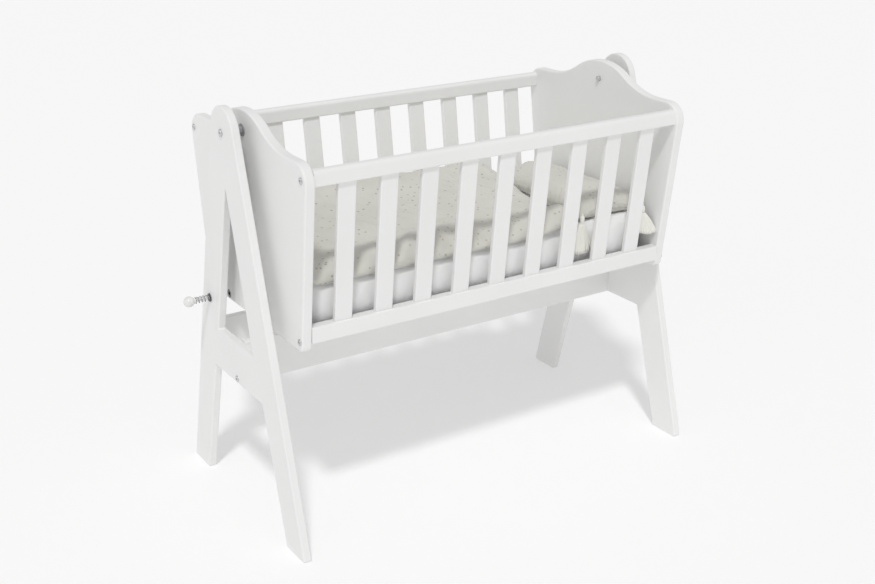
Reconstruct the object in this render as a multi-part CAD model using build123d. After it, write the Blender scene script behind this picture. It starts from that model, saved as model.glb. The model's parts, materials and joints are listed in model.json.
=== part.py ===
from build123d import *
import math
import os

# A slatted wooden cradle that hangs on two pivot bolts between two A-shaped stand frames.
# Millimetres. X runs along the cradle, Y across it (the front is -Y), Z up from the floor.
# The pieces are drawn about the middle of the stand and moved along X as they are written,
# so that the origin is on the floor, in the middle of the overall length with the lock knob.

# ---------------------------------------------------------------- clearances
RUNNING_CLEARANCE = 0.05    # radial, round a shaft that turns or slides
HOLE_CLEARANCE = 0.15       # radial, round a fastener or a bush
JOINT_CLEARANCE = 0.2       # round a tenon or a tongue
FACE_CLEARANCE = 0.3        # between faces that move past each other, and under soft pieces
END_CLEARANCE = 0.6         # past the end of a blind fastener, dowel or tenon

# ---------------------------------------------------------------- cradle, main sizes
CRADLE_LENGTH = 900.0       # clear length between the end panels
PANEL_THICKNESS = 22.0
PANEL_BOTTOM = 441.0        # height of the end panel's lower edge
PANEL_FOOT_HALF = 226.5     # half width of the lower edge
PANEL_CORNER = 9.0
SHOULDER_Y = 233.0          # centre of the rounded shoulder
SHOULDER_Z = 793.0
SHOULDER_RADIUS = 40.0
CROWN_RISE = 56.0           # crown above the shoulders
CROWN_RADIUS = 160.0
VALLEY_RADIUS = 207.0
PANEL_ROUNDOVER = 4.0

RAIL_WIDTH = 24.0
TOP_RAIL_Y = 255.6          # middle of the top rail
TOP_RAIL_Z = 786.5          # its underside
TOP_RAIL_HEIGHT = 32.5
TOP_RAIL_ROUNDOVER = 8.0
BOTTOM_RAIL_Y = 220.0
BOTTOM_RAIL_Z = 456.0
BOTTOM_RAIL_HEIGHT = 35.0
RAIL_ROUNDOVER = 3.0

SLAT_COUNT = 9
SLAT_WIDTH = 40.0
SLAT_THICKNESS = 12.0
SLAT_ROUNDOVER = 3.0
TENON = 8.0                 # depth of a slat's end in its rail

BASE_THICKNESS = 6.0
BASE_UNDERSIDE = 464.0      # height of the groove's floor in the bottom rails
GROOVE_DEPTH = 6.0

# ---------------------------------------------------------------- stand, main sizes
SWING_GAP = 27.5            # between an end panel and its stand frame
FRAME_THICKNESS = 18.0
PIVOT_HEIGHT = 846.0
EAR_RADIUS = 54.0
FOOT_OUTER = 286.0          # half spread of the feet
FOOT_WIDTH = 82.0
CROSSBAR_BOTTOM = 297.0
CROSSBAR_HEIGHT = 95.0
CROSSBAR_HALF = 120.5       # half width of the gap between the legs, at the crossbar
OPENING_HALF = 88.5         # half width of the triangular opening, at the crossbar
OPENING_APEX = 737.0
FOOT_CORNER = 6.0
INNER_CORNER = 3.0
FRAME_ROUNDOVER = 3.0

STRETCHER_THICKNESS = 18.0
REAR_STRETCHER_Y = 151.0    # middle of the rear stretcher
REAR_STRETCHER_HEIGHT = 65.0
STRETCHER_ROUNDOVER = 2.5

# ---------------------------------------------------------------- fasteners
BOLT_RADIUS = 3.0
BOLT_HEAD_RADIUS = 6.5
BOLT_HEAD_HEIGHT = 2.6
BOLT_REACH = 32.0           # length of a bolt in the rail or stretcher that it holds
SOCKET_RADIUS = 2.3         # hexagon socket in a bolt's head, across its corners
SOCKET_DEPTH = 1.6
TOP_BOLT_Z = 801.0
BOTTOM_BOLT_Z = 462.0
STRETCHER_BOLT_Z = 308.5

DOWEL_RADIUS = 4.0
DOWEL_IN_PANEL = 10.0
DOWEL_IN_RAIL = 22.0
RAIL_DOWEL_Z = 477.5
CENTRE_DOWEL_Z = 365.0
REAR_DOWEL_SPACING = 32.0

PIVOT_RADIUS = 4.0
PIVOT_HEAD_RADIUS = 8.0
PIVOT_HEAD_HEIGHT = 3.2
PIVOT_NUT_RADIUS = 6.0
PIVOT_NUT_HEIGHT = 6.0
PIVOT_NUT_CAP = 2.0         # thickness of the nut past the bolt's end
PIVOT_SOCKET_RADIUS = 3.2
SPACER_RADIUS = 9.0
BUSH_RADIUS = 6.0
BUSH_FLANGE_RADIUS = 13.0
BUSH_FLANGE = 2.0

# ---------------------------------------------------------------- lock pin
LOCK_Y = 123.0
LOCK_Z = 455.0
LOCK_ROD_RADIUS = 4.0
LOCK_TIP = 2.6              # the rod's end past the frame's inner face, when it is drawn back
GUIDE_RADIUS = 6.0
GUIDE_FLANGE_RADIUS = 9.5
GUIDE_FLANGE = 2.0
CLIP_RADIUS = 7.0
CLIP_THICKNESS = 1.0
CLIP_GROOVE = 0.9           # depth of the clip's groove in the rod
KNOB_RADIUS = 12.0
KNOB_NECK_RADIUS = 7.0
KNOB_NECK = 3.5
KNOB_OVERLAP = 2.0          # of the ball over its neck
KNOB_BORE = 12.0            # depth of the rod's hole in the knob
SPRING_LENGTH = 33.0
SPRING_RADIUS = 6.6         # to the middle of the wire
SPRING_WIRE = 0.8
SPRING_TURNS = 5.5
SOCKET_SLEEVE_RADIUS = 9.5
SOCKET_SLEEVE_BORE = 4.6
SOCKET_SLEEVE_DEPTH = 14.0

# ---------------------------------------------------------------- bedding
MATTRESS_THICKNESS = 100.0
MATTRESS_END_GAP = 7.0      # between the mattress and an end panel
MATTRESS_SIDE_GAP = 9.5     # between the mattress and a bottom rail
MATTRESS_CORNER = 40.0
MATTRESS_EDGE = 24.0
DUVET_LENGTH = 680.0
DUVET_END_GAP = 5.0
DUVET_THICKNESS = 32.0
DUVET_HEM = 20.0            # height of its front and rear edges
DUVET_SHOULDER = 28.0       # width of the slope down to the front edge
DUVET_FRONT_GAP = 5.0       # between the duvet and the slats
DUVET_LIP = 8.0             # how far the front edge hangs below the mattress's top
DUVET_REAR_RISE = 28.0      # how much higher the rear edge lies
PILLOW_LENGTH = 204.0       # along X
PILLOW_WIDTH = 402.0
PILLOW_THICKNESS = 56.0
PILLOW_END_GAP = 4.0
PILLOW_EDGE = 20.0
TASSEL_LENGTH = 88.0
TASSEL_TOP_RADIUS = 3.5
TASSEL_WIDTH = 36.0         # across the lower end
TASSEL_DEPTH = 11.0
TASSEL_INSET = 18.0         # of a tassel's middle from the pillow's end

# ---------------------------------------------------------------- derived places
PANEL_INNER_X = CRADLE_LENGTH / 2
PANEL_OUTER_X = PANEL_INNER_X + PANEL_THICKNESS
FRAME_INNER_X = PANEL_OUTER_X + SWING_GAP
FRAME_OUTER_X = FRAME_INNER_X + FRAME_THICKNESS
SHOULDER_TOP = SHOULDER_Z + SHOULDER_RADIUS
CROSSBAR_TOP = CROSSBAR_BOTTOM + CROSSBAR_HEIGHT
KNOB_FACE_X = FRAME_OUTER_X + GUIDE_FLANGE + SPRING_LENGTH
KNOB_CENTRE_X = KNOB_FACE_X + KNOB_NECK + KNOB_RADIUS - KNOB_OVERLAP
KNOB_END_X = KNOB_CENTRE_X + KNOB_RADIUS
BOLT_END_X = FRAME_OUTER_X + PIVOT_HEAD_HEIGHT
ORIGIN_SHIFT = (KNOB_END_X - BOLT_END_X) / 2
SLAT_PITCH = SLAT_WIDTH + (CRADLE_LENGTH - SLAT_COUNT * SLAT_WIDTH) / (SLAT_COUNT + 1)
SLAT_LEAN = (TOP_RAIL_Y - BOTTOM_RAIL_Y) / (TOP_RAIL_Z - BOTTOM_RAIL_Z - BOTTOM_RAIL_HEIGHT)
MATTRESS_BOTTOM = BASE_UNDERSIDE + BASE_THICKNESS + FACE_CLEARANCE
MATTRESS_TOP = MATTRESS_BOTTOM + MATTRESS_THICKNESS
MATTRESS_HALF = BOTTOM_RAIL_Y - RAIL_WIDTH / 2 - MATTRESS_SIDE_GAP
BOTTOM_RAIL_TOP = BOTTOM_RAIL_Z + BOTTOM_RAIL_HEIGHT
REAR_DOWEL_MIDDLE = CROSSBAR_TOP - REAR_STRETCHER_HEIGHT / 2
BASE_HALF = BOTTOM_RAIL_Y - RAIL_WIDTH / 2 + GROOVE_DEPTH

SIDE_VIEW = Plane.YZ        # local x is Y, local y is Z, and an extrusion runs along +X
ACROSS = Plane.XZ           # mirror between front and rear
ALONG = Plane.YZ            # mirror between left and right


# ---------------------------------------------------------------- helpers
def rod_x(y, z, radius, start_x, end_x):
    """A round bar or hole along X."""
    circle = SIDE_VIEW.offset(start_x) * Pos(y, z) * Circle(radius)
    return extrude(circle, end_x - start_x)


def extrude_x(face, start_x, end_x):
    """A side-view outline drawn at the origin, given its thickness along X."""
    return extrude(SIDE_VIEW.offset(start_x) * face, end_x - start_x)


def tangent_point(point, centre, radius):
    """Where the line from a point touches a circle, on the circle's outer (+Y) side."""
    offset_y = centre[0] - point[0]
    offset_z = centre[1] - point[1]
    distance = math.hypot(offset_y, offset_z)
    reach = math.sqrt(distance**2 - radius**2)
    angle = math.atan2(offset_z, offset_y) - math.asin(radius / distance)
    return (point[0] + reach * math.cos(angle), point[1] + reach * math.sin(angle))


def angle_about(centre, point):
    """Direction from a centre to a point, in degrees."""
    return math.degrees(math.atan2(point[1] - centre[1], point[0] - centre[0]))


def symmetric_face(half_outline):
    """A face from the outline of its +Y half, whose ends lie on the middle line."""
    closing = Line(half_outline @ 1, half_outline @ 0)
    half = make_face(half_outline + closing)
    return half + mirror(half, about=Plane.YZ)


def round_faces(board, radius):
    """Rounds every edge of the board's two broad faces."""
    return fillet(board.faces().filter_by(Axis.X).edges(), radius)


def slat_middle(z):
    """Distance of the slats' middle plane from the cradle's middle plane, at a height."""
    return BOTTOM_RAIL_Y + SLAT_LEAN * (z - BOTTOM_RAIL_TOP)


def slat_face_half():
    """Half of a slat's thickness, measured level."""
    return SLAT_THICKNESS / 2 * math.hypot(1, SLAT_LEAN)


def slat_inner(z):
    """Distance of the slats' inner faces from the cradle's middle plane, at a height."""
    return slat_middle(z) - slat_face_half()


def both_sides(shape, plane):
    """The shape's solids and their mirror images, as one group."""
    return Compound(list(shape.solids()) + list(mirror(shape, about=plane).solids()))


# ---------------------------------------------------------------- stand
def frame_outline():
    """The A shape: two straight legs, tangent to a round ear about the pivot."""
    ear_centre = (0, PIVOT_HEIGHT)
    outer_foot = (FOOT_OUTER, 0)
    ear_start = tangent_point(outer_foot, ear_centre, EAR_RADIUS)
    legs = FilletPolyline(
        (0, CROSSBAR_BOTTOM),
        (CROSSBAR_HALF, CROSSBAR_BOTTOM),
        (FOOT_OUTER - FOOT_WIDTH, 0),
        outer_foot,
        ear_start,
        radius=[INNER_CORNER, FOOT_CORNER, FOOT_CORNER],
    )
    start = angle_about(ear_centre, ear_start)
    ear = CenterArc(ear_centre, EAR_RADIUS, start, 90 - start)
    return symmetric_face(legs + ear)


def frame_opening():
    """The triangular opening above the crossbar."""
    triangle = make_face(
        Polyline(
            (-OPENING_HALF, CROSSBAR_TOP),
            (OPENING_HALF, CROSSBAR_TOP),
            (0, OPENING_APEX),
            close=True,
        )
    )
    return fillet(triangle.vertices(), INNER_CORNER)


def stretcher_dowel_places():
    """Y and Z of the dowels at a stretcher's end: one in the centre one, two in the rear one."""
    return [
        (0, CENTRE_DOWEL_Z),
        (REAR_STRETCHER_Y, REAR_DOWEL_MIDDLE - REAR_DOWEL_SPACING / 2),
        (REAR_STRETCHER_Y, REAR_DOWEL_MIDDLE + REAR_DOWEL_SPACING / 2),
    ]


def stand_frame():
    """The right stand frame, with its holes."""
    board = extrude_x(frame_outline() - frame_opening(), FRAME_INNER_X, FRAME_OUTER_X)
    board = round_faces(board, FRAME_ROUNDOVER)
    board -= rod_x(0, PIVOT_HEIGHT, PIVOT_RADIUS + HOLE_CLEARANCE, FRAME_INNER_X, FRAME_OUTER_X)
    board -= rod_x(0, STRETCHER_BOLT_Z, BOLT_RADIUS + HOLE_CLEARANCE, FRAME_INNER_X, FRAME_OUTER_X)
    depth = DOWEL_IN_PANEL + END_CLEARANCE
    for y, z in stretcher_dowel_places():
        board -= rod_x(y, z, DOWEL_RADIUS + HOLE_CLEARANCE, FRAME_INNER_X, FRAME_INNER_X + depth)
    return board


def left_stand_frame():
    """The left stand frame: the right one mirrored, with a hole for the lock's guide."""
    guide_hole = rod_x(LOCK_Y, LOCK_Z, GUIDE_RADIUS + HOLE_CLEARANCE, FRAME_INNER_X, FRAME_OUTER_X)
    return mirror(stand_frame() - guide_hole, about=ALONG)


def stretcher(y, bottom, top):
    """A board between the frames, with dowel holes in its ends."""
    outline = Pos(y, (bottom + top) / 2) * Rectangle(STRETCHER_THICKNESS, top - bottom)
    outline = fillet(outline.vertices(), STRETCHER_ROUNDOVER)
    board = extrude_x(outline, -FRAME_INNER_X, FRAME_INNER_X)
    depth = DOWEL_IN_RAIL + END_CLEARANCE
    for dowel_y, dowel_z in stretcher_dowel_places():
        if dowel_y == y:
            radius = DOWEL_RADIUS + HOLE_CLEARANCE
            hole = rod_x(dowel_y, dowel_z, radius, FRAME_INNER_X - depth, FRAME_INNER_X)
            board -= hole
            board -= mirror(hole, about=ALONG)
    return board


def centre_stretcher():
    """The board under the cradle, bolted to both crossbars."""
    depth = BOLT_REACH + END_CLEARANCE
    radius = BOLT_RADIUS + HOLE_CLEARANCE
    hole = rod_x(0, STRETCHER_BOLT_Z, radius, FRAME_INNER_X - depth, FRAME_INNER_X)
    board = stretcher(0, CROSSBAR_BOTTOM, CROSSBAR_TOP)
    return board - hole - mirror(hole, about=ALONG)


def rear_stretcher():
    """The lower board between the rear legs."""
    return stretcher(REAR_STRETCHER_Y, CROSSBAR_TOP - REAR_STRETCHER_HEIGHT, CROSSBAR_TOP)


# ---------------------------------------------------------------- fasteners
def bolt(y, z, seat_x, length, radius, head_radius, head_height, socket_radius):
    """A bolt along X at the right side, its head on the seat and its shank towards -X."""
    shank = rod_x(y, z, radius, seat_x - length, seat_x)
    head = rod_x(y, z, head_radius, seat_x, seat_x + head_height)
    head = fillet(head.edges().sort_by(Axis.X)[-1:], head_height / 3)
    hexagon = SIDE_VIEW.offset(seat_x + head_height - SOCKET_DEPTH) * Pos(y, z)
    socket = extrude(hexagon * RegularPolygon(socket_radius, 6), SOCKET_DEPTH)
    return shank + head - socket


def board_bolt(y, z, seat_x, board_thickness):
    """A bolt through a board of some thickness into a rail or stretcher."""
    return bolt(
        y,
        z,
        seat_x,
        board_thickness + BOLT_REACH,
        BOLT_RADIUS,
        BOLT_HEAD_RADIUS,
        BOLT_HEAD_HEIGHT,
        SOCKET_RADIUS,
    )


def dowel(y, z, face_x):
    """A dowel across the face between a board and the rail or stretcher it carries."""
    pin = rod_x(y, z, DOWEL_RADIUS, face_x - DOWEL_IN_RAIL, face_x + DOWEL_IN_PANEL)
    return chamfer(pin.edges(), DOWEL_RADIUS / 4)


def stretcher_bolts():
    """One bolt at each end of the centre stretcher."""
    return both_sides(board_bolt(0, STRETCHER_BOLT_Z, FRAME_OUTER_X, FRAME_THICKNESS), ALONG)


def stretcher_dowels():
    """The dowels at both ends of both stretchers."""
    pins = [dowel(y, z, FRAME_INNER_X) for y, z in stretcher_dowel_places()]
    return both_sides(Compound(pins), ALONG)


def rail_bolt_places():
    """Y and Z of the bolts of the rear rails."""
    return [(TOP_RAIL_Y, TOP_BOLT_Z), (BOTTOM_RAIL_Y, BOTTOM_BOLT_Z)]


def rail_bolts():
    """Two bolts at each corner of the cradle, one in each rail's end."""
    rear = [board_bolt(y, z, PANEL_OUTER_X, PANEL_THICKNESS) for y, z in rail_bolt_places()]
    right = both_sides(Compound(rear), ACROSS)
    return both_sides(right, ALONG)


def rail_dowels():
    """One dowel at each end of the bottom rails."""
    right = both_sides(dowel(BOTTOM_RAIL_Y, RAIL_DOWEL_Z, PANEL_INNER_X), ACROSS)
    return both_sides(right, ALONG)


# ---------------------------------------------------------------- swing pivots
def pivot_bolts():
    """Bolts from the outside of the stand frames into the cap nuts."""
    bolt_end = PANEL_INNER_X - FACE_CLEARANCE - PIVOT_NUT_HEIGHT + PIVOT_NUT_CAP
    right = bolt(
        0,
        PIVOT_HEIGHT,
        FRAME_OUTER_X,
        FRAME_OUTER_X - bolt_end,
        PIVOT_RADIUS,
        PIVOT_HEAD_RADIUS,
        PIVOT_HEAD_HEIGHT,
        PIVOT_SOCKET_RADIUS,
    )
    return both_sides(right, ALONG)


def pivot_nuts():
    """Cap nuts inside the cradle, just clear of the end panels."""
    seat = PANEL_INNER_X - FACE_CLEARANCE
    nut = rod_x(0, PIVOT_HEIGHT, PIVOT_NUT_RADIUS, seat - PIVOT_NUT_HEIGHT, seat)
    nut = fillet(nut.edges().sort_by(Axis.X)[:1], PIVOT_NUT_CAP / 2)
    bore = rod_x(0, PIVOT_HEIGHT, PIVOT_RADIUS, seat - PIVOT_NUT_HEIGHT + PIVOT_NUT_CAP, seat)
    return both_sides(nut - bore, ALONG)


def pivot_spacers():
    """Tubes that keep the cradle off the stand frames."""
    start = PANEL_OUTER_X + BUSH_FLANGE + FACE_CLEARANCE
    tube = rod_x(0, PIVOT_HEIGHT, SPACER_RADIUS, start, FRAME_INNER_X)
    tube -= rod_x(0, PIVOT_HEIGHT, PIVOT_RADIUS + HOLE_CLEARANCE, start, FRAME_INNER_X)
    return both_sides(tube, ALONG)


def pivot_bushes():
    """Flanged bushes in the end panels, which turn on the pivot bolts."""
    flange_end = PANEL_OUTER_X + BUSH_FLANGE
    flange = rod_x(0, PIVOT_HEIGHT, BUSH_FLANGE_RADIUS, PANEL_OUTER_X, flange_end)
    barrel = rod_x(0, PIVOT_HEIGHT, BUSH_RADIUS, PANEL_INNER_X, PANEL_OUTER_X)
    bore = rod_x(0, PIVOT_HEIGHT, PIVOT_RADIUS + RUNNING_CLEARANCE, PANEL_INNER_X, flange_end)
    return both_sides(flange + barrel - bore, ALONG)


# ---------------------------------------------------------------- cradle
def panel_outline():
    """The end panel: sides that lean out, round shoulders and a crown between two valleys."""
    foot = (PANEL_FOOT_HALF, PANEL_BOTTOM)
    shoulder = (SHOULDER_Y, SHOULDER_Z)
    shoulder_start = tangent_point(foot, shoulder, SHOULDER_RADIUS)
    radii = CROWN_RADIUS + VALLEY_RADIUS
    valley_y = math.sqrt(CROWN_RISE * (2 * radii - CROWN_RISE))
    valley = (valley_y, SHOULDER_TOP + VALLEY_RADIUS)
    crown = (0, SHOULDER_TOP + CROWN_RISE - CROWN_RADIUS)
    crown_angle = angle_about(crown, valley)
    side = FilletPolyline((0, PANEL_BOTTOM), foot, shoulder_start, radius=PANEL_CORNER)
    start = angle_about(shoulder, shoulder_start)
    shoulder_arc = CenterArc(shoulder, SHOULDER_RADIUS, start, 90 - start)
    level = Line((SHOULDER_Y, SHOULDER_TOP), (valley_y, SHOULDER_TOP))
    valley_arc = CenterArc(valley, VALLEY_RADIUS, 270, crown_angle - 90)
    crown_arc = CenterArc(crown, CROWN_RADIUS, crown_angle, 90 - crown_angle)
    return symmetric_face(side + shoulder_arc + level + valley_arc + crown_arc)


def end_panel():
    """The right end panel, with the holes for its rails and its pivot bush."""
    board = extrude_x(panel_outline(), PANEL_INNER_X, PANEL_OUTER_X)
    board = round_faces(board, PANEL_ROUNDOVER)
    bolt_hole = BOLT_RADIUS + HOLE_CLEARANCE
    dowel_hole = DOWEL_RADIUS + HOLE_CLEARANCE
    dowel_end = PANEL_INNER_X + DOWEL_IN_PANEL + END_CLEARANCE
    board -= rod_x(0, PIVOT_HEIGHT, BUSH_RADIUS + HOLE_CLEARANCE, PANEL_INNER_X, PANEL_OUTER_X)
    for side in (-1, 1):
        for y, z in rail_bolt_places():
            board -= rod_x(side * y, z, bolt_hole, PANEL_INNER_X, PANEL_OUTER_X)
        board -= rod_x(side * BOTTOM_RAIL_Y, RAIL_DOWEL_Z, dowel_hole, PANEL_INNER_X, dowel_end)
    return board


def left_end_panel():
    """The left end panel: the right one mirrored, with a blind hole for the lock's socket."""
    depth = SOCKET_SLEEVE_DEPTH + END_CLEARANCE
    radius = SOCKET_SLEEVE_RADIUS + HOLE_CLEARANCE
    socket_hole = rod_x(LOCK_Y, LOCK_Z, radius, PANEL_OUTER_X - depth, PANEL_OUTER_X)
    return mirror(end_panel() - socket_hole, about=ALONG)


def slat(x, growth, extra_length):
    """A rear slat, leaning out to the top rail; growth makes the mortise that it fits."""
    low = BOTTOM_RAIL_TOP - TENON - extra_length
    high = TOP_RAIL_Z + TENON + extra_length
    half = slat_face_half() + growth
    outline = make_face(
        Polyline(
            (slat_middle(low) - half, low),
            (slat_middle(low) + half, low),
            (slat_middle(high) + half, high),
            (slat_middle(high) - half, high),
            close=True,
        )
    )
    half_width = SLAT_WIDTH / 2 + growth
    board = extrude_x(outline, x - half_width, x + half_width)
    long_edges = board.edges().filter_by(Axis((0, 0, 0), (0, SLAT_LEAN, 1)))
    return fillet(long_edges, SLAT_ROUNDOVER + growth)


def slat_places():
    """X of each slat, from left to right."""
    return [(index - (SLAT_COUNT - 1) / 2) * SLAT_PITCH for index in range(SLAT_COUNT)]


def rail(y, bottom, height, top_roundover, bolt_z):
    """A rear rail with its mortises and bolt holes."""
    outline = Pos(y, bottom + height / 2) * Rectangle(RAIL_WIDTH, height)
    outline = fillet(outline.vertices().sort_by(Axis.Y)[:2], RAIL_ROUNDOVER)
    outline = fillet(outline.vertices().sort_by(Axis.Y)[-2:], top_roundover)
    beam = extrude_x(outline, -PANEL_INNER_X, PANEL_INNER_X)
    for x in slat_places():
        beam -= slat(x, JOINT_CLEARANCE, END_CLEARANCE)
    depth = BOLT_REACH + END_CLEARANCE
    radius = BOLT_RADIUS + HOLE_CLEARANCE
    bolt_hole = rod_x(y, bolt_z, radius, PANEL_INNER_X - depth, PANEL_INNER_X)
    return beam - bolt_hole - mirror(bolt_hole, about=ALONG)


def top_rail():
    """The rear top rail."""
    return rail(TOP_RAIL_Y, TOP_RAIL_Z, TOP_RAIL_HEIGHT, TOP_RAIL_ROUNDOVER, TOP_BOLT_Z)


def bottom_rail():
    """The rear bottom rail, with dowel holes and the groove that holds the base board."""
    beam = rail(
        BOTTOM_RAIL_Y, BOTTOM_RAIL_Z, BOTTOM_RAIL_HEIGHT, RAIL_ROUNDOVER, BOTTOM_BOLT_Z
    )
    start = PANEL_INNER_X - DOWEL_IN_RAIL - END_CLEARANCE
    radius = DOWEL_RADIUS + HOLE_CLEARANCE
    dowel_hole = rod_x(BOTTOM_RAIL_Y, RAIL_DOWEL_Z, radius, start, PANEL_INNER_X)
    groove_width = GROOVE_DEPTH + END_CLEARANCE
    groove_middle = BASE_HALF + END_CLEARANCE - groove_width / 2
    groove = Rectangle(groove_width, BASE_THICKNESS + JOINT_CLEARANCE)
    groove = Pos(groove_middle, BASE_UNDERSIDE + BASE_THICKNESS / 2) * groove
    beam -= dowel_hole
    beam -= mirror(dowel_hole, about=ALONG)
    return beam - extrude_x(groove, -PANEL_INNER_X, PANEL_INNER_X)


def mattress_base():
    """The board that carries the mattress, its long edges in the rails' grooves."""
    length = CRADLE_LENGTH - 2 * END_CLEARANCE
    middle_z = BASE_UNDERSIDE + BASE_THICKNESS / 2
    return Pos(0, 0, middle_z) * Box(length, 2 * BASE_HALF, BASE_THICKNESS)


# ---------------------------------------------------------------- lock pin
def lock_guide():
    """Flanged bush in the left frame's rear leg."""
    flange_end = FRAME_OUTER_X + GUIDE_FLANGE
    barrel = rod_x(LOCK_Y, LOCK_Z, GUIDE_RADIUS, FRAME_INNER_X, FRAME_OUTER_X)
    flange = rod_x(LOCK_Y, LOCK_Z, GUIDE_FLANGE_RADIUS, FRAME_OUTER_X, flange_end)
    bore = rod_x(LOCK_Y, LOCK_Z, LOCK_ROD_RADIUS + RUNNING_CLEARANCE, FRAME_INNER_X, flange_end)
    return mirror(barrel + flange - bore, about=ALONG)


def lock_rod():
    """The sliding rod, drawn back, with a groove for its clip."""
    rod = rod_x(LOCK_Y, LOCK_Z, LOCK_ROD_RADIUS, FRAME_INNER_X - LOCK_TIP, KNOB_FACE_X + KNOB_BORE)
    groove_start = FRAME_INNER_X - FACE_CLEARANCE - CLIP_THICKNESS
    groove_end = FRAME_INNER_X - FACE_CLEARANCE
    band = rod_x(LOCK_Y, LOCK_Z, LOCK_ROD_RADIUS, groove_start, groove_end)
    core = rod_x(LOCK_Y, LOCK_Z, LOCK_ROD_RADIUS - CLIP_GROOVE, groove_start, groove_end)
    return mirror(rod - (band - core), about=ALONG)


def lock_clip():
    """The ring that stops the spring from pushing the rod out of its guide."""
    start = FRAME_INNER_X - FACE_CLEARANCE - CLIP_THICKNESS
    end = FRAME_INNER_X - FACE_CLEARANCE
    ring = rod_x(LOCK_Y, LOCK_Z, CLIP_RADIUS, start, end)
    ring -= rod_x(LOCK_Y, LOCK_Z, LOCK_ROD_RADIUS - CLIP_GROOVE, start, end)
    return mirror(ring, about=ALONG)


def lock_knob():
    """The ball knob on the rod's outer end."""
    neck = rod_x(LOCK_Y, LOCK_Z, KNOB_NECK_RADIUS, KNOB_FACE_X, KNOB_CENTRE_X)
    ball = Pos(KNOB_CENTRE_X, LOCK_Y, LOCK_Z) * Sphere(KNOB_RADIUS)
    bore_end = KNOB_FACE_X + KNOB_BORE
    bore = rod_x(LOCK_Y, LOCK_Z, LOCK_ROD_RADIUS, KNOB_FACE_X, bore_end)
    return mirror(neck + ball - bore, about=ALONG)


def lock_spring():
    """The coil spring between the guide's flange and the knob."""
    height = SPRING_LENGTH - 2 * SPRING_WIRE - 2 * HOLE_CLEARANCE
    coil = Helix(pitch=height / SPRING_TURNS, height=height, radius=SPRING_RADIUS)
    wire = sweep(Plane(coil @ 0, z_dir=coil % 0) * Circle(SPRING_WIRE), coil, is_frenet=True)
    start = FRAME_OUTER_X + GUIDE_FLANGE + SPRING_WIRE + HOLE_CLEARANCE
    return mirror(Pos(start, LOCK_Y, LOCK_Z) * Rot(0, 90, 0) * wire, about=ALONG)


def lock_socket():
    """The sleeve in the left end panel that the rod goes into."""
    start = PANEL_OUTER_X - SOCKET_SLEEVE_DEPTH
    sleeve = rod_x(LOCK_Y, LOCK_Z, SOCKET_SLEEVE_RADIUS, start, PANEL_OUTER_X)
    sleeve -= rod_x(LOCK_Y, LOCK_Z, SOCKET_SLEEVE_BORE, start, PANEL_OUTER_X)
    return mirror(sleeve, about=ALONG)


# ---------------------------------------------------------------- bedding
def mattress():
    """A plain block with rounded corners and edges."""
    length = CRADLE_LENGTH - 2 * MATTRESS_END_GAP
    outline = Rectangle(length, 2 * MATTRESS_HALF)
    outline = fillet(outline.vertices(), MATTRESS_CORNER)
    block = extrude(Pos(0, 0, MATTRESS_BOTTOM) * outline, MATTRESS_THICKNESS)
    return fillet(block.faces().filter_by(Axis.Z).edges(), MATTRESS_EDGE)


def duvet():
    """A padded cover on the mattress: its front edge hangs over, its rear edge lies higher."""
    underside = MATTRESS_TOP + FACE_CLEARANCE
    lip = MATTRESS_TOP - DUVET_LIP
    front = slat_inner(lip) - DUVET_FRONT_GAP
    rear_top = underside + DUVET_THICKNESS + DUVET_REAR_RISE
    rear = slat_inner(underside) - DUVET_FRONT_GAP
    lip_inner = MATTRESS_HALF + FACE_CLEARANCE
    outline = make_face(
        Polyline(
            (-front, lip),
            (-front, lip + DUVET_HEM),
            (-front + DUVET_SHOULDER, underside + DUVET_THICKNESS),
            (rear / 2, underside + DUVET_THICKNESS),
            (rear, rear_top),
            (rear, rear_top - DUVET_HEM),
            (MATTRESS_HALF, underside),
            (-lip_inner, underside),
            (-lip_inner, lip),
            close=True,
        )
    )
    start = DUVET_END_GAP - PANEL_INNER_X
    return extrude_x(outline, start, start + DUVET_LENGTH)


def pillow_middle():
    """The middle of the pillow, which lies against the right end panel."""
    x = PANEL_INNER_X - PILLOW_END_GAP - PILLOW_LENGTH / 2
    return (x, 0, MATTRESS_TOP + FACE_CLEARANCE + PILLOW_THICKNESS / 2)


def pillow():
    """A plain block with rounded edges."""
    block = Box(PILLOW_LENGTH, PILLOW_WIDTH, PILLOW_THICKNESS)
    return Pos(*pillow_middle()) * fillet(block.edges(), PILLOW_EDGE)


def pillow_tassels():
    """A flared tassel that hangs from each corner of the pillow."""
    centre_x, _, top = pillow_middle()
    bottom = top - TASSEL_LENGTH
    outline = make_face(
        Polyline(
            (-TASSEL_TOP_RADIUS, top),
            (TASSEL_TOP_RADIUS, top),
            (TASSEL_WIDTH / 2, bottom),
            (-TASSEL_WIDTH / 2, bottom),
            close=True,
        )
    )
    rear = PILLOW_WIDTH / 2 + FACE_CLEARANCE
    tassel = extrude(Plane.XZ.offset(-rear) * outline, -TASSEL_DEPTH)
    spread = PILLOW_LENGTH / 2 - TASSEL_INSET
    rear_pair = [Pos(centre_x + side * spread, 0, 0) * tassel for side in (-1, 1)]
    return both_sides(Compound([piece.solid() for piece in rear_pair]), ACROSS)


# ---------------------------------------------------------------- writing the pieces
def write(name, shape):
    """Writes one piece, or one group of alike pieces, about the origin."""
    export_step(Pos(ORIGIN_SHIFT, 0, 0) * shape, os.path.join("parts", name + ".step"))


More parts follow.
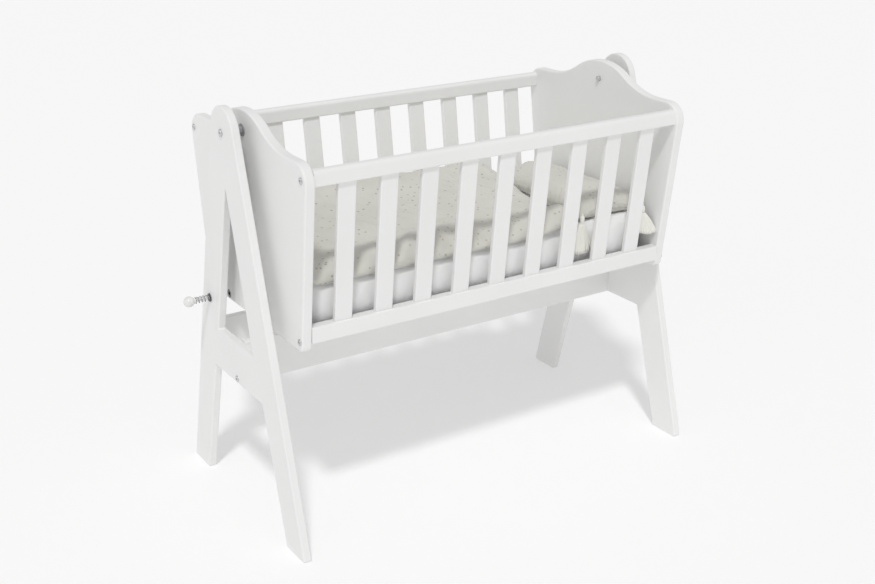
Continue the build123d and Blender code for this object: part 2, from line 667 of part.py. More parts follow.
def write_stand():
    """The fixed body."""
    write("stand_frame_right", stand_frame())
    write("stand_frame_left", left_stand_frame())
    write("stretcher_centre", centre_stretcher())
    write("stretcher_rear", rear_stretcher())
    write("stretcher_bolts", stretcher_bolts())
    write("stretcher_dowels", stretcher_dowels())
    write("pivot_bolts", pivot_bolts())
    write("pivot_nuts", pivot_nuts())
    write("pivot_spacers", pivot_spacers())
    write("lock_guide", lock_guide())
    write("lock_spring", lock_spring())


def write_cradle():
    """The swinging body."""
    write("end_panel_right", end_panel())
    write("end_panel_left", left_end_panel())
    rails = {"rail_top": top_rail(), "rail_bottom": bottom_rail()}
    for name, beam in rails.items():
        write(name + "_rear", beam)
        write(name + "_front", mirror(beam, about=ACROSS))
    for index, x in enumerate(slat_places(), start=1):
        board = slat(x, 0, 0)
        write("slat_rear_%d" % index, board)
        write("slat_front_%d" % index, mirror(board, about=ACROSS))
    write("rail_bolts", rail_bolts())
    write("rail_dowels", rail_dowels())
    write("pivot_bushes", pivot_bushes())
    write("lock_socket", lock_socket())
    write("mattress_base", mattress_base())
    write("mattress", mattress())
    write("duvet", duvet())
    write("pillow", pillow())
    write("pillow_tassels", pillow_tassels())


def write_lock():
    """The sliding body."""
    write("lock_rod", lock_rod())
    write("lock_clip", lock_clip())
    write("lock_knob", lock_knob())


os.makedirs("parts", exist_ok=True)
write_stand()
write_cradle()
write_lock()
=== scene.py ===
import json
import math
import random

import bmesh
import bpy
from mathutils import Matrix, Vector, noise


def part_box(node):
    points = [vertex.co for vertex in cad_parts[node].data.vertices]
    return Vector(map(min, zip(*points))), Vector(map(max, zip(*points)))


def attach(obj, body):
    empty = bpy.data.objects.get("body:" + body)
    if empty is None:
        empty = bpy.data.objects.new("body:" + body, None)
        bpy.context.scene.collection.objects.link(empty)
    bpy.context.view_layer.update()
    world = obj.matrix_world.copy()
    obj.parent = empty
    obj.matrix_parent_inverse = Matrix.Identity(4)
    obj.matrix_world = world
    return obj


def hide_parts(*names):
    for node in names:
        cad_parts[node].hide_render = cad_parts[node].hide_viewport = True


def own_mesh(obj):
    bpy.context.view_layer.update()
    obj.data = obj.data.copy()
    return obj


# A white slatted cradle that swings between two A-shaped stand frames, with its bedding.
# Metres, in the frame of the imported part: +X along the cradle, the front is -Y, +Z up.

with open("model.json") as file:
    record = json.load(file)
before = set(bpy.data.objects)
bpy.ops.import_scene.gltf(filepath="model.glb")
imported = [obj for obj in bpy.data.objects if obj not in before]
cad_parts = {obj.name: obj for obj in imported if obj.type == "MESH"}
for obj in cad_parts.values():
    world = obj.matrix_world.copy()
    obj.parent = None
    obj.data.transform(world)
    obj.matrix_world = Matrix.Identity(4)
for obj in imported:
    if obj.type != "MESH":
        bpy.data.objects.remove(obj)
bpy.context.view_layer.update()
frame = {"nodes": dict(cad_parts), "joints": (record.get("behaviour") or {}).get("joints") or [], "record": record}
nodes = frame["nodes"]
scene = bpy.context.scene
random.seed(7)

SWING_X = next(j for j in frame["joints"] if j["name"] == "cradle_swing")["pos_m"][0]


# ---------------------------------------------------------------- node helpers
def new_material(name):
    """An empty node material, its principled shader and its node tree."""
    material = bpy.data.materials.new(name)
    material.use_nodes = True
    tree = material.node_tree
    tree.nodes.clear()
    shader = tree.nodes.new("ShaderNodeBsdfPrincipled")
    output = tree.nodes.new("ShaderNodeOutputMaterial")
    tree.links.new(shader.outputs[0], output.inputs["Surface"])
    return material, shader, tree


def add(tree, kind, inputs=None, **settings):
    """A node with its settings and with values or links for its inputs."""
    node = tree.nodes.new("ShaderNode" + kind)
    for key, value in settings.items():
        setattr(node, key, value)
    for key, value in (inputs or {}).items():
        if isinstance(value, bpy.types.NodeSocket):
            tree.links.new(value, node.inputs[key])
        else:
            node.inputs[key].default_value = value
    return node


def stretched(tree, scale):
    """Object coordinates, scaled by a different amount along each axis."""
    coordinates = add(tree, "TexCoord")
    mapping = add(tree, "Mapping", {"Vector": coordinates.outputs["Object"], "Scale": scale})
    return mapping.outputs["Vector"]


def fractal(tree, vector, scale, detail=3.0, roughness=0.5):
    """A noise texture's value."""
    node = add(
        tree,
        "TexNoise",
        {"Vector": vector, "Scale": scale, "Detail": detail, "Roughness": roughness},
    )
    return node.outputs["Fac"]


def ramp(tree, value, low, high, colour_low, colour_high):
    """A colour that goes from one to another as a value goes from low to high."""
    node = add(tree, "ValToRGB", {"Fac": value})
    node.color_ramp.elements[0].position = low
    node.color_ramp.elements[1].position = high
    node.color_ramp.elements[0].color = (*colour_low, 1)
    node.color_ramp.elements[1].color = (*colour_high, 1)
    return node.outputs["Color"]


def span(tree, value, low, high):
    """A value from 0..1 moved to low..high."""
    node = add(tree, "MapRange", {"Value": value, "To Min": low, "To Max": high})
    return node.outputs["Result"]


def bumped(tree, shader, layers):
    """Chains bump nodes: each layer is (height, strength, distance)."""
    normal = None
    for height, strength, distance in layers:
        node = add(tree, "Bump", {"Height": height, "Strength": strength, "Distance": distance})
        if normal is not None:
            tree.links.new(normal, node.inputs["Normal"])
        normal = node.outputs["Normal"]
    tree.links.new(normal, shader.inputs["Normal"])


# ---------------------------------------------------------------- materials
def paint(name, grain):
    """Satin white paint on wood: faint brushed grain, slight unevenness of tone and gloss."""
    material, shader, tree = new_material(name)
    along = stretched(tree, grain)
    even = stretched(tree, (1, 1, 1))
    grain_height = fractal(tree, along, 60.0, 5.0, 0.6)
    blotches = fractal(tree, even, 5.0, 3.0)
    orange_peel = fractal(tree, even, 420.0, 2.0)
    colour = ramp(tree, blotches, 0.3, 0.7, (0.85, 0.85, 0.843), (0.88, 0.88, 0.873))
    tree.links.new(colour, shader.inputs["Base Color"])
    tree.links.new(span(tree, blotches, 0.36, 0.46), shader.inputs["Roughness"])
    shader.inputs["Specular IOR Level"].default_value = 0.45
    bumped(tree, shader, [(grain_height, 0.12, 0.0004), (orange_peel, 0.08, 0.0002)])
    return material


def steel(name, dark, light):
    """Plated steel with fine scratches."""
    material, shader, tree = new_material(name)
    scratches = fractal(tree, stretched(tree, (8, 1, 1)), 900.0, 4.0, 0.7)
    cloud = fractal(tree, stretched(tree, (1, 1, 1)), 220.0, 2.0)
    colour = ramp(tree, cloud, 0.3, 0.7, dark, light)
    tree.links.new(colour, shader.inputs["Base Color"])
    tree.links.new(span(tree, scratches, 0.24, 0.42), shader.inputs["Roughness"])
    shader.inputs["Metallic"].default_value = 1.0
    bumped(tree, shader, [(scratches, 0.15, 0.0001)])
    return material


def plastic(name, dark, light, roughness):
    """Moulded plastic with a fine texture."""
    material, shader, tree = new_material(name)
    cloud = fractal(tree, stretched(tree, (1, 1, 1)), 90.0, 3.0)
    pores = fractal(tree, stretched(tree, (1, 1, 1)), 1500.0, 2.0)
    tree.links.new(ramp(tree, cloud, 0.3, 0.7, dark, light), shader.inputs["Base Color"])
    tree.links.new(
        span(tree, cloud, roughness - 0.05, roughness + 0.05), shader.inputs["Roughness"]
    )
    bumped(tree, shader, [(pores, 0.1, 0.0001)])
    return material


def bare_wood(name):
    """Unfinished beech."""
    material, shader, tree = new_material(name)
    rings = fractal(tree, stretched(tree, (0.1, 1, 1)), 300.0, 5.0)
    tree.links.new(
        ramp(tree, rings, 0.3, 0.7, (0.55, 0.38, 0.22), (0.70, 0.52, 0.33)),
        shader.inputs["Base Color"],
    )
    shader.inputs["Roughness"].default_value = 0.7
    bumped(tree, shader, [(rings, 0.2, 0.0002)])
    return material


def weave(tree, pitch):
    """The height of a plain weave: threads along X and along Y that pass over each other."""
    vector = stretched(tree, (1, 1, 1))
    heights = []
    for direction in ("X", "Y", "Z"):
        wave = add(
            tree,
            "TexWave",
            {"Vector": vector, "Scale": WAVE_UNIT / pitch, "Distortion": 0.6, "Detail": 1.0},
            bands_direction=direction,
        )
        heights.append(wave.outputs["Fac"])
    pair = add(tree, "Math", {0: heights[0], 1: heights[1]}, operation="ADD")
    total = add(tree, "Math", {0: pair.outputs[0], 1: heights[2]}, operation="ADD")
    return total.outputs[0]


def cloth(name, dark, light, dots=False):
    """Woven cotton with soft sheen and small creases, and a sparse print of dots if asked."""
    material, shader, tree = new_material(name)
    even = stretched(tree, (1, 1, 1))
    cloud = fractal(tree, even, 9.0, 4.0)
    creases = fractal(tree, even, 46.0, 4.0, 0.55)
    fluff = fractal(tree, even, 900.0, 2.0)
    colour = ramp(tree, cloud, 0.3, 0.7, dark, light)
    if dots:
        cells = add(tree, "TexVoronoi", {"Vector": even, "Scale": 1 / DOT_SPACING})
        hues = add(tree, "SeparateColor", {"Color": cells.outputs["Color"]})
        inside = add(
            tree,
            "MapRange",
            {
                "Value": cells.outputs["Distance"],
                "From Min": DOT_EDGE,
                "From Max": DOT_CORE,
                "To Min": 0.0,
                "To Max": 0.65,
            },
        )
        tint = ramp(tree, hues.outputs[0], 0.45, 0.55, (0.27, 0.255, 0.21), (0.42, 0.36, 0.23))
        mixed = add(
            tree, "Mix", {"Factor": inside.outputs["Result"]}, data_type="RGBA", blend_type="MIX"
        )
        tree.links.new(colour, mixed.inputs[6])
        tree.links.new(tint, mixed.inputs[7])
        colour = mixed.outputs[2]
    tree.links.new(colour, shader.inputs["Base Color"])
    tree.links.new(span(tree, fluff, 0.82, 0.95), shader.inputs["Roughness"])
    shader.inputs["Specular IOR Level"].default_value = 0.2
    shader.inputs["Sheen Weight"].default_value = 0.25
    shader.inputs["Sheen Roughness"].default_value = 0.5
    bumped(
        tree,
        shader,
        [(creases, 0.25, 0.003), (weave(tree, THREAD_PITCH), 0.3, 0.0002), (fluff, 0.2, 0.0002)],
    )
    return material


DOT_SPACING = 0.0165
DOT_CORE = 0.12            # dot sizes as shares of the spacing
DOT_EDGE = 0.20
THREAD_PITCH = 0.0009
WAVE_UNIT = 0.31            # a wave texture's bands are this far apart at scale 1, in metres

MATERIALS = {
    "paint_x": paint("paint_x", (0.06, 1, 1)),
    "paint_z": paint("paint_z", (1, 1, 0.06)),
    "steel": steel("steel", (0.55, 0.55, 0.56), (0.70, 0.70, 0.70)),
    "bright_steel": steel("bright_steel", (0.82, 0.82, 0.82), (0.90, 0.90, 0.90)),
    "spring_steel": steel("spring_steel", (0.30, 0.30, 0.31), (0.44, 0.44, 0.44)),
    "dark_steel": steel("dark_steel", (0.12, 0.12, 0.12), (0.20, 0.20, 0.20)),
    "nylon": plastic("nylon", (0.30, 0.30, 0.31), (0.36, 0.36, 0.37), 0.5),
    "knob": plastic("knob", (0.76, 0.76, 0.75), (0.82, 0.82, 0.81), 0.22),
    "wood": bare_wood("wood"),
    "mattress_cotton": cloth("mattress_cotton", (0.91, 0.91, 0.91), (0.94, 0.94, 0.94)),
    "dotted_cotton": cloth("dotted_cotton", (0.63, 0.622, 0.57), (0.70, 0.692, 0.64), True),
    "yarn": cloth("yarn", (0.84, 0.835, 0.77), (0.90, 0.895, 0.84)),
}

SLOT_MATERIALS = {
    "white_paint": "paint_x",
    "steel": "steel",
    "grey_plastic": "nylon",
    "bare_wood": "wood",
    "knob": "knob",
    "base_board": "paint_x",
    "mattress_cover": "paint_x",
    "printed_cotton": "paint_x",
    "tassel_yarn": "paint_x",
}
STEEL_FINISHES = {
    "lock_rod": "bright_steel",
    "lock_socket": "dark_steel",
    "lock_guide": "dark_steel",
}

for entry in frame["record"]["subparts"]:
    node = nodes[entry["node"]]
    name = STEEL_FINISHES.get(entry["node"], SLOT_MATERIALS[entry["material_slot"]])
    if name == "paint_x" and entry["node"].startswith(("slat", "end_panel", "stand_frame")):
        name = "paint_z"
    node.data.materials.clear()
    node.data.materials.append(MATERIALS[name])


# ---------------------------------------------------------------- soft pieces
def new_object(name, bm, material, smooth=True):
    """An object from a bmesh, with one material."""
    mesh = bpy.data.meshes.new(name)
    bm.to_mesh(mesh)
    bm.free()
    mesh.materials.append(MATERIALS[material])
    for face in mesh.polygons:
        face.use_smooth = smooth
    made = bpy.data.objects.new(name, mesh)
    scene.collection.objects.link(made)
    return made


def lofted(rings):
    """A closed bmesh through rings of points, with a flat cap at each end."""
    bm = bmesh.new()
    loops = [[bm.verts.new(point) for point in ring] for ring in rings]
    count = len(rings[0])
    for lower, upper in zip(loops, loops[1:]):
        for i in range(count):
            j = (i + 1) % count
            bm.faces.new((lower[i], lower[j], upper[j], upper[i]))
    bm.faces.new(list(reversed(loops[0])))
    bm.faces.new(loops[-1])
    return bm


def rounded_rectangle(centre, half_x, half_y, corner, z, steps=10):
    """Points round a rectangle with round corners."""
    points = []
    for quarter, (side_x, side_y) in enumerate(((1, 1), (-1, 1), (-1, -1), (1, -1))):
        for step in range(steps + 1):
            angle = math.radians(90 * quarter + 90 * step / steps)
            x = centre[0] + side_x * (half_x - corner) + corner * math.cos(angle)
            y = centre[1] + side_y * (half_y - corner) + corner * math.sin(angle)
            points.append((x, y, z))
    return points


def applied(made):
    """Applies all of an object's modifiers."""
    depsgraph = bpy.context.evaluated_depsgraph_get()
    depsgraph.update()
    mesh = bpy.data.meshes.new_from_object(made.evaluated_get(depsgraph))
    made.modifiers.clear()
    made.data = mesh


def remesh(made, voxel, smoothing):
    """Even quads of one size, with the edges softened."""
    modifier = made.modifiers.new("remesh", "REMESH")
    modifier.mode = "VOXEL"
    modifier.voxel_size = voxel
    if smoothing:
        soften = made.modifiers.new("soften", "SMOOTH")
        soften.factor = 0.5
        soften.iterations = smoothing
    applied(made)


def inflate(made, pressure, cap):
    """Swells a closed piece as cloth under pressure, moving no point by more than the cap."""
    rest = [v.co.copy() for v in made.data.vertices]
    modifier = made.modifiers.new("cloth", "CLOTH")
    settings = modifier.settings
    settings.use_pressure = True
    settings.uniform_pressure_force = pressure
    settings.effector_weights.gravity = 0
    modifier.point_cache.frame_start = 1
    modifier.point_cache.frame_end = CLOTH_FRAMES
    for frame_number in range(1, CLOTH_FRAMES + 1):
        scene.frame_set(frame_number)
    depsgraph = bpy.context.evaluated_depsgraph_get()
    swollen = [v.co.copy() for v in made.evaluated_get(depsgraph).data.vertices]
    made.modifiers.clear()
    scene.frame_set(1)
    for vertex, start, end in zip(made.data.vertices, rest, swollen):
        move = end - start
        if move.length > cap:
            move = move.normalized() * cap
        vertex.co = start + move


def subdivide(made):
    """One level of subdivision."""
    made.modifiers.new("subdivision", "SUBSURF").levels = 1
    applied(made)
    for face in made.data.polygons:
        face.use_smooth = True


def reshape(made, rule):
    """Moves each point to where a rule of its place and normal puts it."""
    normals = [v.normal.copy() for v in made.data.vertices]
    for vertex, normal in zip(made.data.vertices, normals):
        vertex.co = rule(vertex.co.copy(), normal)
    made.data.update()


def smoothstep(value, low, high):
    """0 below low, 1 above high, and a smooth rise between."""
    t = min(max((value - low) / (high - low), 0.0), 1.0)
    return t * t * (3 - 2 * t)


def folds(x, y, angle, width, length, seed):
    """Soft ridges that run at an angle to X: about 0 in the hollows and 1 on the crests."""
    along = x * math.cos(angle) + y * math.sin(angle)
    across = y * math.cos(angle) - x * math.sin(angle)
    value = noise.noise(Vector((across / width, along / length, seed)))
    return 1 - min(abs(value) * 2.6, 1.0)


def gathers(x, y, angle, pitch, seed):
    """Even soft waves at an angle to X, bent and faded by noise."""
    across = y * math.cos(angle) - x * math.sin(angle)
    bend = 3.0 * noise.noise(Vector((x * 6, y * 6, seed)))
    fade = 0.6 + 0.8 * noise.noise(Vector((x * 4, y * 4, seed + 7.0)))
    return (0.5 + 0.5 * math.sin(2 * math.pi * across / pitch + bend)) * fade


RAIL_LOW, RAIL_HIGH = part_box("rail_bottom_front")
TOP_RAIL_LOW, TOP_RAIL_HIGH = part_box("rail_top_front")
LEFT_PANEL_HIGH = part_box("end_panel_left")[1]
RIGHT_PANEL_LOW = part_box("end_panel_right")[0]
SLAT_HALF = 0.0061          # half of a slat's thickness, measured level
SOFT_GAP = 0.0015           # left between soft pieces and wood
CLOTH_FRAMES = 20
CLOTH_PRESSURE = 4.0
TASSEL_YARNS = 280
YARN_RADIUS = 0.0016
TASSEL_INSET = 0.0067       # from the side of the tassels' box to the middle of a tassel
SPRING_WIRE = 0.0008
SPRING_TURNS = 5.5
SPRING_STEPS = 22           # points in one turn


def slat_limit(z):
    """The distance from the middle plane that soft pieces may reach at a height."""
    if z < RAIL_HIGH.z:
        return -RAIL_HIGH.y - SOFT_GAP
    foot = -(RAIL_LOW.y + RAIL_HIGH.y) / 2
    head = -(TOP_RAIL_LOW.y + TOP_RAIL_HIGH.y) / 2
    share = (z - RAIL_HIGH.z) / (TOP_RAIL_LOW.z - RAIL_HIGH.z)
    return foot + (head - foot) * share - SLAT_HALF - SOFT_GAP


def kept_inside(point):
    """The point, moved back inside the cradle if it is outside."""
    limit = slat_limit(point.z)
    point.y = min(max(point.y, -limit), limit)
    point.x = min(max(point.x, LEFT_PANEL_HIGH.x + SOFT_GAP), RIGHT_PANEL_LOW.x - SOFT_GAP)
    return point


def mattress_piece():
    """The mattress: a boxed form whose sides bulge, with a seam round its upper and lower edges."""
    low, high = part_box("mattress")
    centre = (low + high) / 2
    half = (high - low) / 2
    profile = (
        (0.018, 0.0), (0.008, 0.002), (0.002, 0.008), (0.0, 0.020), (0.0, 0.035), (0.0, 0.050),
        (0.0, 0.065), (0.0, 0.080), (0.002, 0.092), (0.008, 0.098), (0.018, 0.100),
    )
    rings = [
        rounded_rectangle(centre, half.x - inset, half.y - inset, 0.04, low.z + height)
        for inset, height in profile
    ]
    made = new_object("mattress_pad", lofted(rings), "mattress_cotton")
    remesh(made, 0.008, 2)
    inflate(made, CLOTH_PRESSURE, 0.006)
    subdivide(made)

    def rule(point, normal):
        height = (point.z - low.z) / (high.z - low.z)
        side = 1 - abs(normal.z)
        bulge = 0.0045 * math.sin(math.pi * min(max(height, 0), 1)) * side
        waves = 0.0022 * noise.noise(Vector((point.x * 9, point.y * 9, 3.0))) * side
        for level in (0.10, 0.90):
            bulge -= 0.0022 * math.exp(-(((height - level) / 0.022) ** 2)) * side
        creases = 0.0012 * folds(point.x, point.z + point.y, 1.2, 0.03, 0.10, 5.0)
        point = point + normal * (bulge + waves + creases * (1 - 0.6 * side))
        point.z = min(max(point.z, low.z), high.z)
        return kept_inside(point)

    reshape(made, rule)
    return made


def duvet_piece():
    """The duvet: a soft quilted slab over the mattress, its front edge hanging a little over."""
    low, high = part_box("duvet")
    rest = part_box("mattress")[1].z
    mattress_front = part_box("mattress")[0].y
    section = (
        (low.y + 0.004, low.z + 0.002), (low.y + 0.003, low.z + 0.016),
        (low.y + 0.014, low.z + 0.027), (low.y + 0.034, low.z + 0.034),
        (low.y + 0.10, low.z + 0.038), (0.0, low.z + 0.043), (high.y - 0.12, low.z + 0.058),
        (high.y - 0.055, low.z + 0.076), (high.y - 0.018, low.z + 0.080),
        (high.y - 0.001, low.z + 0.063), (high.y - 0.004, low.z + 0.034),
        (high.y - 0.028, rest + 0.001), (mattress_front - 0.0015, rest + 0.001),
        (mattress_front - 0.003, low.z + 0.001),
    )
    stations = (
        (0.0, 0.55), (0.006, 0.8), (0.016, 0.96), (0.035, 1.0), (0.5, 1.0), (0.965, 1.0),
        (0.984, 0.96), (0.994, 0.8), (1.0, 0.55),
    )
    middle_z = (low.z + high.z) / 2 - 0.008
    rings = [
        [
            (low.x + 0.006 + share * (high.x - low.x - 0.012), y, middle_z + (z - middle_z) * size)
            for y, z in section
        ]
        for share, size in stations
    ]
    made = new_object("duvet_quilt", lofted(rings), "dotted_cotton")
    bm = bmesh.new()
    bm.from_mesh(made.data)
    bmesh.ops.recalc_face_normals(bm, faces=bm.faces)
    bm.to_mesh(made.data)
    bm.free()
    remesh(made, 0.006, 5)
    inflate(made, CLOTH_PRESSURE, 0.006)
    subdivide(made)

    def rule(point, normal):
        upper = max(normal.z, 0.0)
        front = 1 - smoothstep(point.y, low.y + 0.04, low.y + 0.20)
        near = 0.011 * gathers(point.x, point.y, 0.85, 0.062, 1.0) * front
        wide = 0.0045 * folds(point.x, point.y, 0.45, 0.11, 0.40, 8.0) * (1 - 0.6 * front)
        fine = 0.0016 * folds(point.x, point.y, 1.9, 0.035, 0.09, 4.0)
        swell = 0.004 * noise.noise(Vector((point.x * 7, point.y * 7, 2.0)))
        edge = min(
            point.x - low.x, high.x - point.x, point.y - low.y + 0.01, high.y - point.y + 0.01
        )
        seam = 0.0022 * math.exp(-(((edge - 0.017) / 0.0035) ** 2))
        offset = (near + wide + fine + swell - 0.006) * upper - seam * upper
        point = point + normal * offset
        right = smoothstep(point.x - SWING_X, 0.11, 0.24)
        point.z += 0.016 * right * (1 - smoothstep(point.y, -0.19, -0.10))
        point.x += right * (0.003 + 0.026 * smoothstep(point.y, -0.15, 0.15))
        ripple = 0.004 * noise.noise(Vector((point.x * 26, 4.0, 1.0)))
        point.y += ripple * (1 - smoothstep(point.y, low.y, low.y + 0.03))
        if point.y > mattress_front:
            point.z = max(point.z, rest + 0.0003)
        return kept_inside(point)

    reshape(made, rule)
    return made


def pillow_piece():
    """The pillow: a crowned form, thin along its edges and drawn out at its corners."""
    low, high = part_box("pillow")
    centre = (low + high) / 2
    half = (high - low) / 2
    steps = 26
    bm = bmesh.new()
    sheets = []
    for side in (-1, 1):
        rows = []
        for i in range(steps + 1):
            row = []
            for j in range(steps + 1):
                u = 2 * i / steps - 1
                v = 2 * j / steps - 1
                crown = ((1 - abs(u) ** 5) * (1 - v**4)) ** 0.36
                pull_x = 1 - 0.02 * (1 - v * v)
                pull_y = 1 - 0.03 * (1 - u * u)
                x = centre.x + u * (half.x - 0.003) * pull_x
                y = centre.y + v * (half.y - 0.003) * pull_y
                z = centre.z - 0.003 + side * (0.0012 + (half.z - 0.004) * crown)
                row.append(bm.verts.new((x, y, z)))
            rows.append(row)
        for i in range(steps):
            for j in range(steps):
                quad = (rows[i][j], rows[i + 1][j], rows[i + 1][j + 1], rows[i][j + 1])
                bm.faces.new(quad if side > 0 else tuple(reversed(quad)))
        sheets.append(rows)
    lower, upper = sheets
    rim = (
        [(i, 0) for i in range(steps)]
        + [(steps, j) for j in range(steps)]
        + [(i, steps) for i in range(steps, 0, -1)]
        + [(0, j) for j in range(steps, 0, -1)]
    )
    for (i, j), (k, m) in zip(rim, rim[1:] + rim[:1]):
        bm.faces.new((lower[i][j], lower[k][m], upper[k][m], upper[i][j]))
    made = new_object("pillow_cushion", bm, "dotted_cotton")
    remesh(made, 0.005, 2)
    inflate(made, CLOTH_PRESSURE, 0.005)
    subdivide(made)

    def rule(point, normal):
        u = (point.x - centre.x) / half.x
        v = (point.y - centre.y) / half.y
        rim_share = max(abs(u), abs(v))
        creases = folds(point.x, point.y, math.atan2(v, u), 0.02, 0.12, 6.0)
        offset = 0.0022 * creases * smoothstep(rim_share, 0.45, 0.9)
        offset += 0.0020 * noise.noise(Vector((point.x * 14, point.y * 14, 9.0)))
        height = (point.z - centre.z + 0.003) / half.z
        if rim_share > 0.9:
            offset -= 0.0016 * math.exp(-((height / 0.06) ** 2))
        point = point + normal * offset
        droop = smoothstep(abs(v), 0.55, 1.0) * smoothstep(abs(u), 0.2, 1.0)
        point.z -= droop * (0.008 if v > 0 else 0.012) * smoothstep(point.z, low.z, low.z + 0.02)
        point.z -= 0.007 * smoothstep(u, 0.0, 0.7) * smoothstep(point.z, low.z, low.z + 0.04)
        point.x += smoothstep(-u, -0.4, 1.0) * 0.034 * smoothstep(v, -0.8, 0.8)
        corner = smoothstep(v, 0.0, 0.9) * smoothstep(-u, -0.3, 0.8)
        point.z = low.z + (point.z - low.z) * (1 - 0.55 * corner)
        point.z = max(point.z, low.z)
        return kept_inside(point)

    reshape(made, rule)
    return made


def tube(bm, path, radii, sides):
    """Adds a closed tube along a path, with a radius at each point."""
    rings = []
    for index, point in enumerate(path):
        before = path[max(index - 1, 0)]
        after = path[min(index + 1, len(path) - 1)]
        along = (after - before).normalized()
        across = along.orthogonal().normalized()
        other = along.cross(across)
        ring = []
        for side in range(sides):
            angle = 2 * math.pi * side / sides
            offset = across * math.cos(angle) + other * math.sin(angle)
            ring.append(bm.verts.new(point + offset * radii[index]))
        rings.append(ring)
    for lower, upper in zip(rings, rings[1:]):
        for side in range(sides):
            turn = (side + 1) % sides
            bm.faces.new((lower[side], lower[turn], upper[turn], upper[side]))
    bm.faces.new(list(reversed(rings[0])))
    bm.faces.new(rings[-1])


def tassel(name, corner, side, drop, spread, lean, outward):
    """A tassel: a cord from the pillow's corner, a bound head and a flared skirt of yarns."""
    bm = bmesh.new()
    top = corner
    head_low = top + Vector((lean * 0.2, 0, -0.020))
    tube(
        bm,
        [top + Vector((0, 0, 0.001)), top + Vector((0, 0, -0.004))],
        [0.0022, 0.0022],
        10,
    )
    head = [(0.0, 0.0026), (0.003, 0.0046), (0.008, 0.0055), (0.013, 0.0050), (0.016, 0.0036)]
    tube(bm, [top + Vector((lean * 0.2 * d / 0.02, 0, -0.003 - d)) for d, _ in head],
         [r for _, r in head], 14)
    for turn in range(4):
        height = -0.0165 - 0.0011 * turn
        band = [
            top
            + Vector((lean * 0.17, 0, height))
            + Vector((0.0040 * math.cos(a), 0.0040 * math.sin(a), 0))
            for a in [2 * math.pi * k / 16 for k in range(17)]
        ]
        tube(bm, band, [0.0007] * 17, 5)
    for _ in range(TASSEL_YARNS):
        across = random.uniform(-1, 1)
        depth = random.uniform(-1, 1) * math.sqrt(1 - across * across)
        length = drop * (1 - 0.10 * across * across) * random.uniform(0.96, 1.0)
        sway = random.uniform(-0.0016, 0.0016)
        points = []
        for step in range(9):
            t = step / 8
            flare = t**0.75
            x = 0.0030 * across + (spread * across - 0.003 * across + lean) * flare
            y = 0.0030 * depth + (0.0025 * depth + side * outward * (1 + across)) * flare
            x += sway * math.sin(math.pi * t)
            points.append(head_low + Vector((x, y, -t * length)))
        tube(bm, points, [YARN_RADIUS] * 9, 5)
    made = new_object(name, bm, "yarn")
    return made


def tassel_pieces():
    """The four tassels, hanging between the mattress and the slats."""
    low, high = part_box("pillow")
    box_low, box_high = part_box("pillow_tassels")
    made = []
    for label, side in (("front", -1), ("rear", 1)):
        y = (box_low.y if side < 0 else box_high.y) - side * TASSEL_INSET
        for place, x, fall, drop, spread, lean, outward in (
            ("left", low.x + 0.004, 0.001, 0.073, 0.033, -0.002, 0.0),
            ("right", high.x - 0.022, 0.007, 0.050, 0.021, 0.004, 0.011),
        ):
            corner = Vector((x, y, (low.z + high.z) / 2 - fall))
            name = "tassel_%s_%s" % (label, place)
            made.append(tassel(name, corner, side, drop, spread, lean, outward))
    return made


def spring_piece():
    """The coil spring between the guide and the knob, with closed end turns."""
    low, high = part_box("lock_spring")
    centre = (low + high) / 2
    radius = (high.z - low.z) / 2 - SPRING_WIRE
    start, end = low.x + SPRING_WIRE, high.x - SPRING_WIRE
    turns = SPRING_TURNS
    path = []
    for index in range(int(turns * SPRING_STEPS) + 1):
        turn = index / SPRING_STEPS
        share = smoothstep(turn, 0.0, 1.6) * 0.5 + smoothstep(turn, turns - 1.6, turns) * 0.5
        middle = min(max((turn - 0.8) / (turns - 1.6), 0.0), 1.0)
        x = start + (end - start) * (0.12 * share + 0.88 * middle)
        angle = 2 * math.pi * turn
        y = centre.y + radius * math.cos(angle)
        z = centre.z + radius * math.sin(angle)
        path.append(Vector((x, y, z)))
    bm = bmesh.new()
    tube(bm, path, [SPRING_WIRE] * len(path), 8)
    return new_object("lock_coil", bm, "spring_steel")


mattress_pad = mattress_piece()
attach(mattress_pad, "cradle")
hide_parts("mattress")

duvet_quilt = duvet_piece()
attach(duvet_quilt, "cradle")
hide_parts("duvet")

pillow_cushion = pillow_piece()
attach(pillow_cushion, "cradle")
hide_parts("pillow")

tassels = tassel_pieces()
for made in tassels:
    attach(made, "cradle")
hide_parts("pillow_tassels")

lock_coil = spring_piece()
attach(lock_coil, "stand")
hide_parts("lock_spring")
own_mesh(lock_coil)


# ---------------------------------------------------------------- floor, light, camera
def add_floor():
    """A plain pale floor."""
    bm = bmesh.new()
    bmesh.ops.create_grid(bm, x_segments=1, y_segments=1, size=40)
    mesh = bpy.data.meshes.new("floor")
    bm.to_mesh(mesh)
    bm.free()
    floor = bpy.data.objects.new("floor", mesh)
    scene.collection.objects.link(floor)
    material, shader, _ = new_material("floor")
    shader.inputs["Base Color"].default_value = (FLOOR_GREY, FLOOR_GREY, FLOOR_GREY, 1)
    shader.inputs["Roughness"].default_value = 0.9
    shader.inputs["Emission Color"].default_value = (1, 1, 1, 1)
    shader.inputs["Emission Strength"].default_value = FLOOR_GLOW
    mesh.materials.append(material)


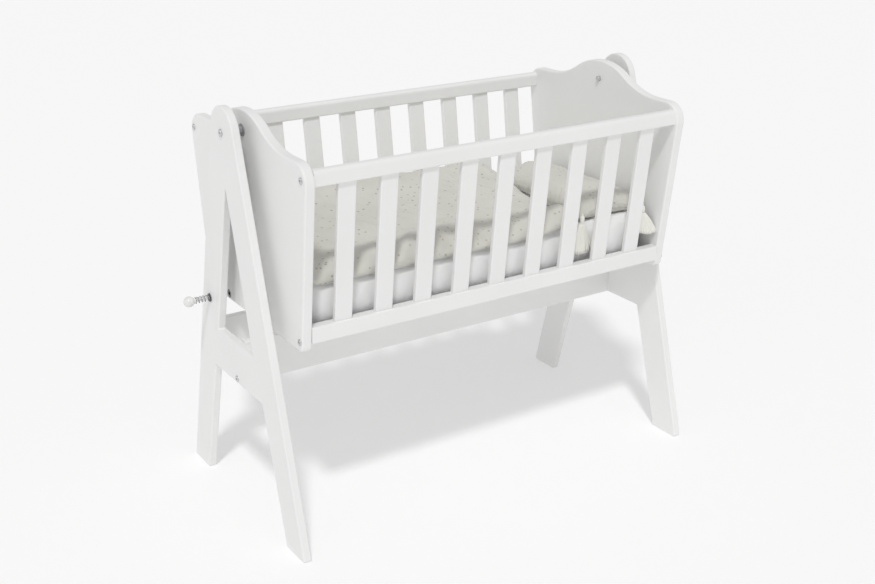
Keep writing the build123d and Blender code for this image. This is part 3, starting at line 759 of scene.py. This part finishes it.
def add_sun(name, direction, strength, angle):
    """A soft distant light that shines along a direction."""
    light = bpy.data.lights.new(name, "SUN")
    light.energy = strength
    light.angle = math.radians(angle)
    lamp = bpy.data.objects.new(name, light)
    lamp.rotation_euler = Vector(direction).to_track_quat("-Z", "Y").to_euler()
    scene.collection.objects.link(lamp)


def add_world():
    """An even white surround."""
    world = bpy.data.worlds.new("studio")
    world.use_nodes = True
    background = world.node_tree.nodes["Background"]
    background.inputs["Color"].default_value = (1, 1, 1, 1)
    background.inputs["Strength"].default_value = SURROUND_STRENGTH
    scene.world = world


def add_camera():
    """The camera, at the front left and above, looking down at the cradle."""
    yaw, pitch, roll = (math.radians(a) for a in (CAMERA_YAW, CAMERA_PITCH, CAMERA_ROLL))
    forward = Vector(
        (math.sin(yaw) * math.cos(pitch), math.cos(yaw) * math.cos(pitch), math.sin(pitch))
    )
    level = Vector((math.cos(yaw), -math.sin(yaw), 0))
    upright = level.cross(forward)
    right = level * math.cos(roll) + upright * math.sin(roll)
    up = upright * math.cos(roll) - level * math.sin(roll)
    rotation = Matrix((right, up, -forward)).transposed().to_4x4()
    data = bpy.data.cameras.new("camera")
    data.sensor_width = 36.0
    data.lens = CAMERA_LENS
    camera = bpy.data.objects.new("camera", data)
    camera.matrix_world = Matrix.Translation((SWING_X + CAMERA_X, CAMERA_Y, CAMERA_Z)) @ rotation
    scene.collection.objects.link(camera)
    scene.camera = camera


FLOOR_GREY = 0.8
FLOOR_GLOW = 0.22
SURROUND_STRENGTH = 0.56
KEY_DIRECTION = (0.32, 0.46, -0.83)     # from the front left and high above
KEY_STRENGTH = 1.2
KEY_ANGLE = 6                           # how wide the light looks, in degrees
SIDE_DIRECTION = (0.85, 0.35, -0.40)    # a faint soft light from the left
SIDE_STRENGTH = 0.08
SIDE_ANGLE = 40
CAMERA_X, CAMERA_Y, CAMERA_Z = -1.4657, -2.2778, 1.4434
CAMERA_YAW, CAMERA_PITCH, CAMERA_ROLL = 32.61, -21.11, -0.25
CAMERA_LENS = 51.42

add_floor()
add_world()
add_sun("key", KEY_DIRECTION, KEY_STRENGTH, KEY_ANGLE)
add_sun("side", SIDE_DIRECTION, SIDE_STRENGTH, SIDE_ANGLE)
add_camera()
scene.view_settings.view_transform = "Standard"
